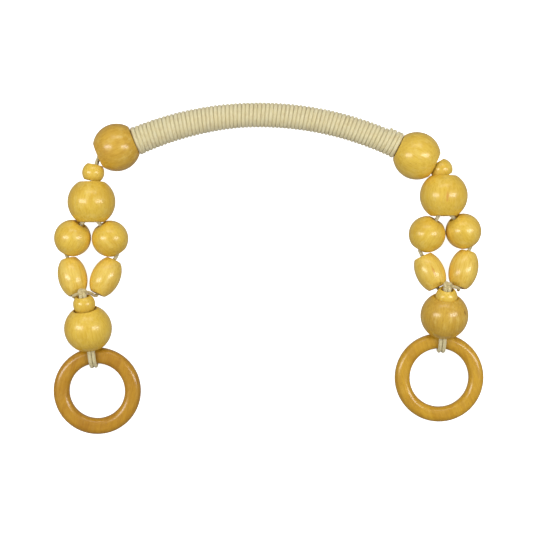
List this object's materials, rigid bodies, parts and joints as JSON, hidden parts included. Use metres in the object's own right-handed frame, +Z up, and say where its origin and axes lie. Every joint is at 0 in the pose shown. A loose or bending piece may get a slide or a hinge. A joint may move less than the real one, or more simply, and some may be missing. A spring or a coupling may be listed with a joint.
{
  "type": "beaded bag handle",
  "caption": "Arched bag handle: a cord-wound grip with a string of turned wooden beads and a plain wooden ring hanging from each end, laid out flat.",
  "frame": {"origin": "middle of the outline on the surface it lies on", "axes": "+X along the grip, from the left ring to the right ring; +Y from the rings towards the crown of the grip; +Z up off the surface"},
  "size_m": [0.2258, 0.1738, 0.0249],
  "materials": {
    "bead_wood": "clear lacquered, semi-gloss",
    "end_bead_wood": "clear lacquered, semi-gloss",
    "ring_wood": "amber lacquered, semi-gloss",
    "winding_cord": "waxed cotton, close wound",
    "string_cord": "twisted cotton",
    "knot_cord": "cotton overhand knot",
    "core_wood": "bare"
  },
  "bodies": {
    "grip": {"grip_core": "core_wood", "grip_string": "string_cord", "grip_winding": "winding_cord"},
    "left_end": {"left_end_bead": "end_bead_wood"},
    "left_neck": {"left_neck_cords": "string_cord"},
    "left_upper": {"left_shoulder_cords": "string_cord", "left_upper_cords": "string_cord", "left_inner_strand_upper": "string_cord", "left_outer_strand_upper": "string_cord"},
    "left_mid": {"left_elbow_cords": "string_cord", "left_inner_strand_lower": "string_cord", "left_outer_strand_lower": "string_cord"},
    "left_lower": {"left_knot_tails": "string_cord", "left_knot": "knot_cord", "left_lower_cords": "string_cord", "left_loop_neck": "string_cord"},
    "left_loop": {"left_loop_bight": "string_cord"},
    "left_ring": {"left_ring": "ring_wood"},
    "left_top_small": {"left_top_small_bead": "bead_wood"},
    "left_upper_big": {"left_upper_big_bead": "bead_wood"},
    "left_inner_round": {"left_inner_round_bead": "bead_wood"},
    "left_outer_round": {"left_outer_round_bead": "bead_wood"},
    "left_inner_oval": {"left_inner_oval_bead": "bead_wood"},
    "left_outer_oval": {"left_outer_oval_bead": "bead_wood"},
    "left_low_small": {"left_low_small_bead": "bead_wood"},
    "left_lower_big": {"left_lower_big_bead": "bead_wood"},
    "right_end": {"right_end_bead": "end_bead_wood"},
    "right_neck": {"right_neck_cords": "string_cord"},
    "right_upper": {"right_shoulder_cords": "string_cord", "right_upper_cords": "string_cord", "right_inner_strand_upper": "string_cord", "right_outer_strand_upper": "string_cord"},
    "right_mid": {"right_elbow_cords": "string_cord", "right_inner_strand_lower": "string_cord", "right_outer_strand_lower": "string_cord"},
    "right_lower": {"right_knot_tails": "string_cord", "right_knot": "knot_cord", "right_lower_cords": "string_cord", "right_loop_neck": "string_cord"},
    "right_loop": {"right_loop_bight": "string_cord"},
    "right_ring": {"right_ring": "ring_wood"},
    "right_top_small": {"right_top_small_bead": "bead_wood"},
    "right_upper_big": {"right_upper_big_bead": "bead_wood"},
    "right_inner_round": {"right_inner_round_bead": "bead_wood"},
    "right_outer_round": {"right_outer_round_bead": "bead_wood"},
    "right_inner_oval": {"right_inner_oval_bead": "bead_wood"},
    "right_outer_oval": {"right_outer_oval_bead": "bead_wood"},
    "right_low_small": {"right_low_small_bead": "bead_wood"},
    "right_lower_big": {"right_lower_big_bead": "bead_wood"}
  },
  "joints": [
    {"name": "left_shoulder_roll", "type": "hinge", "parent": "grip", "child": "left_neck", "pos_m": [-0.07915, 0.06338, 0.01245], "axis": [-0.9219, -0.3875, 0], "range_deg": [0, 70]},
    {"name": "left_shoulder_swing", "type": "hinge", "parent": "left_neck", "child": "left_upper", "pos_m": [-0.08865, 0.05939, 0.01245], "axis": [0, 0, -1], "range_deg": [0, 30], "deforming": ["left_shoulder_cords"]},
    {"name": "left_elbow_fold", "type": "hinge", "parent": "left_upper", "child": "left_mid", "pos_m": [-0.09283, 0.0069, 0.01068], "axis": [-0.9998, 0.019, 0], "range_deg": [0, 20], "deforming": ["left_elbow_cords"]},
    {"name": "left_wrist_fold", "type": "hinge", "parent": "left_mid", "child": "left_lower", "pos_m": [-0.09639, -0.01209, 0.01791], "axis": [-0.9925, -0.1219, 0], "range_deg": [0, 45], "deforming": ["left_knot_tails"]},
    {"name": "left_ring_swing", "type": "hinge", "parent": "left_lower", "child": "left_loop", "pos_m": [-0.09229, -0.04547, 0.00665], "axis": [-0.9925, -0.1219, 0], "range_deg": [0, 75], "deforming": ["left_loop_neck", "left_loop_bight"]},
    {"name": "left_ring_turn", "type": "hinge", "parent": "left_loop", "child": "left_ring", "pos_m": [-0.09002, -0.06398, 0.00528], "axis": [0.009, -0.073, 0.9973], "continuous": true},
    {"name": "right_shoulder_roll", "type": "hinge", "parent": "grip", "child": "right_neck", "pos_m": [0.07719, 0.059, 0.01245], "axis": [-0.9003, 0.4352, 0], "range_deg": [0, 70]},
    {"name": "right_shoulder_swing", "type": "hinge", "parent": "right_neck", "child": "right_upper", "pos_m": [0.08835, 0.0536, 0.01245], "axis": [0, 0, 1], "range_deg": [0, 30], "deforming": ["right_shoulder_cords"]},
    {"name": "right_elbow_fold", "type": "hinge", "parent": "right_upper", "child": "right_mid", "pos_m": [0.09262, 0.00987, 0.01094], "axis": [-0.9964, -0.0852, 0], "range_deg": [0, 20], "deforming": ["right_elbow_cords"]},
    {"name": "right_wrist_fold", "type": "hinge", "parent": "right_mid", "child": "right_lower", "pos_m": [0.09259, -0.00855, 0.01882], "axis": [-0.9981, 0.061, 0], "range_deg": [0, 45], "deforming": ["right_knot_tails"]},
    {"name": "right_ring_swing", "type": "hinge", "parent": "right_lower", "child": "right_loop", "pos_m": [0.0908, -0.03775, 0.0064], "axis": [-0.9981, 0.061, 0], "range_deg": [0, 65], "deforming": ["right_loop_neck", "right_loop_bight"]},
    {"name": "right_ring_turn", "type": "hinge", "parent": "right_loop", "child": "right_ring", "pos_m": [0.08962, -0.05703, 0.00515], "axis": [-0.0039, -0.0645, 0.9979], "continuous": true},
    {"name": "spin_left_end", "type": "hinge", "parent": "grip", "child": "left_end", "pos_m": [-0.07915, 0.06338, 0.01245], "axis": [0.9219, 0.3875, 0], "continuous": true},
    {"name": "spin_left_top_small", "type": "hinge", "parent": "left_upper", "child": "left_top_small", "pos_m": [-0.09137, 0.05022, 0.01245], "axis": [0.2079, 0.9781, 0], "continuous": true},
    {"name": "spin_left_upper_big", "type": "hinge", "parent": "left_upper", "child": "left_upper_big", "pos_m": [-0.09227, 0.03502, 0.01245], "axis": [0, 1, 0], "continuous": true},
    {"name": "spin_left_inner_round", "type": "hinge", "parent": "left_upper", "child": "left_inner_round", "pos_m": [-0.08287, 0.01587, 0.0098], "axis": [-0.5183, 0.8295, 0.2079], "continuous": true},
    {"name": "spin_left_outer_round", "type": "hinge", "parent": "left_upper", "child": "left_outer_round", "pos_m": [-0.10247, 0.01622, 0.0098], "axis": [0.5038, 0.8384, 0.2079], "continuous": true},
    {"name": "spin_left_inner_oval", "type": "hinge", "parent": "left_mid", "child": "left_inner_oval", "pos_m": [-0.08527, -0.00413, 0.0089], "axis": [0.4174, 0.8951, -0.1564], "continuous": true},
    {"name": "spin_left_outer_oval", "type": "hinge", "parent": "left_mid", "child": "left_outer_oval", "pos_m": [-0.10257, -0.00403, 0.0089], "axis": [-0.2389, 0.9583, -0.1564], "continuous": true},
    {"name": "spin_left_low_small", "type": "hinge", "parent": "left_lower", "child": "left_low_small", "pos_m": [-0.09563, -0.01829, 0.01612], "axis": [-0.1171, 0.9541, 0.2756], "continuous": true},
    {"name": "spin_left_lower_big", "type": "hinge", "parent": "left_lower", "child": "left_lower_big", "pos_m": [-0.09407, -0.03098, 0.01245], "axis": [-0.1171, 0.9541, 0.2756], "continuous": true},
    {"name": "spin_right_end", "type": "hinge", "parent": "grip", "child": "right_end", "pos_m": [0.07719, 0.059, 0.01245], "axis": [-0.9003, 0.4352, 0], "continuous": true},
    {"name": "spin_right_top_small", "type": "hinge", "parent": "right_upper", "child": "right_top_small", "pos_m": [0.09008, 0.05187, 0.01245], "axis": [-0.515, 0.8572, 0], "continuous": true},
    {"name": "spin_right_upper_big", "type": "hinge", "parent": "right_upper", "child": "right_upper_big", "pos_m": [0.09128, 0.03822, 0.01245], "axis": [0, 1, 0], "continuous": true},
    {"name": "spin_right_inner_round", "type": "hinge", "parent": "right_upper", "child": "right_inner_round", "pos_m": [0.08283, 0.01817, 0.0104], "axis": [0.5038, 0.8384, 0.2079], "continuous": true},
    {"name": "spin_right_outer_round", "type": "hinge", "parent": "right_upper", "child": "right_outer_round", "pos_m": [0.10188, 0.01977, 0.0095], "axis": [-0.561, 0.8013, 0.2079], "continuous": true},
    {"name": "spin_right_inner_oval", "type": "hinge", "parent": "right_mid", "child": "right_inner_oval", "pos_m": [0.08453, -0.00148, 0.0089], "axis": [-0.4203, 0.9013, -0.1045], "continuous": true},
    {"name": "spin_right_outer_oval", "type": "hinge", "parent": "right_mid", "child": "right_outer_oval", "pos_m": [0.10203, -0.00023, 0.0087], "axis": [0.2569, 0.9587, -0.1219], "continuous": true},
    {"name": "spin_right_low_small", "type": "hinge", "parent": "right_lower", "child": "right_low_small", "pos_m": [0.09222, -0.01456, 0.01638], "axis": [0.0566, 0.9255, 0.3746], "continuous": true},
    {"name": "spin_right_lower_big", "type": "hinge", "parent": "right_lower", "child": "right_lower_big", "pos_m": [0.09163, -0.02428, 0.01245], "axis": [0.0566, 0.9255, 0.3746], "continuous": true}
  ]
}
